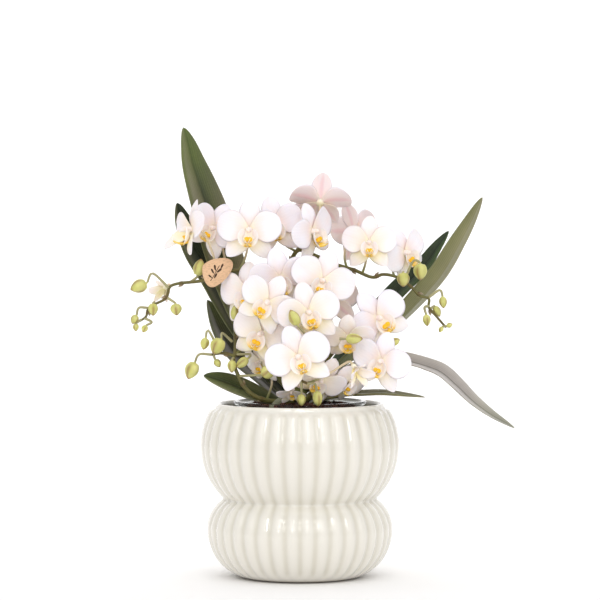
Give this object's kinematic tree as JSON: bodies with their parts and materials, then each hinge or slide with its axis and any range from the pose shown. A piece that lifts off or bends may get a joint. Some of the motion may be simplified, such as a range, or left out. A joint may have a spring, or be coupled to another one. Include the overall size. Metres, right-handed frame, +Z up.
{
  "type": "potted moth orchid",
  "caption": "White moth orchid in flower, with strap leaves and branched spikes, growing in bark in a clear pot inside a ribbed, double-bellied stoneware cachepot.",
  "frame": {"origin": "The centre of the flat foot of the cachepot, on the surface it stands on.", "axes": "+Z is up along the cachepot's axis. -Y is the front, the side that most flowers look towards. +X is to the right as seen from the front."},
  "size_m": [0.2668, 0.1457, 0.315],
  "materials": {
    "glazed_stoneware": "glossy cream glaze over ribbed stoneware",
    "clear_plastic": "clear, slightly cloudy grower pot plastic",
    "bark": "rough damp bark chips",
    "aerial_root": "matt grey-green root skin",
    "leaf_tissue": "leathery satin green with parallel veins",
    "petal_tissue": "soft white petals with cream and yellow throats",
    "spike_tissue": "smooth green stems with yellow-green buds",
    "kraft_card": "uncoated kraft card"
  },
  "bodies": {
    "root": {"cachepot": "glazed_stoneware", "grower_pot": "clear_plastic", "crown_and_roots": "aerial_root", "bark_mix": "bark", "leaf_left_tall": "leaf_tissue", "leaf_left_broad": "leaf_tissue", "leaf_left_behind": "leaf_tissue", "leaf_left_low": "leaf_tissue", "leaf_right_tall": "leaf_tissue", "leaf_right_dark": "leaf_tissue", "leaf_right_trailing": "leaf_tissue", "leaf_right_low": "leaf_tissue", "bloom_left_tip": "petal_tissue", "bloom_left_inner": "petal_tissue", "bloom_crown_left": "petal_tissue", "bloom_crown_middle": "petal_tissue", "bloom_crown_back": "petal_tissue", "bloom_crown_side": "petal_tissue", "bloom_top_back": "petal_tissue", "bloom_top_right": "petal_tissue", "bloom_right_face": "petal_tissue", "bloom_right_tip": "petal_tissue", "bloom_middle_upper": "petal_tissue", "bloom_middle_left": "petal_tissue", "bloom_middle_front": "petal_tissue", "bloom_low_left": "petal_tissue", "bloom_heart_upper": "petal_tissue", "bloom_heart_lower": "petal_tissue", "bloom_flank_upper": "petal_tissue", "bloom_flank_lower": "petal_tissue", "bloom_front": "petal_tissue", "bloom_nodding": "petal_tissue", "bloom_opening": "petal_tissue", "bloom_skirt_middle": "petal_tissue", "bloom_skirt_right": "petal_tissue", "bloom_skirt_small": "petal_tissue", "bloom_low_side": "petal_tissue", "bloom_rear_left": "petal_tissue", "bloom_rear_right": "petal_tissue", "bloom_rear_low": "petal_tissue", "bloom_opening_left": "petal_tissue", "spike_upper_left": "spike_tissue", "spike_lower_left": "spike_tissue", "spike_right": "spike_tissue", "spike_front": "spike_tissue", "card_tag": "kraft_card"}
  },
  "joints": []
}
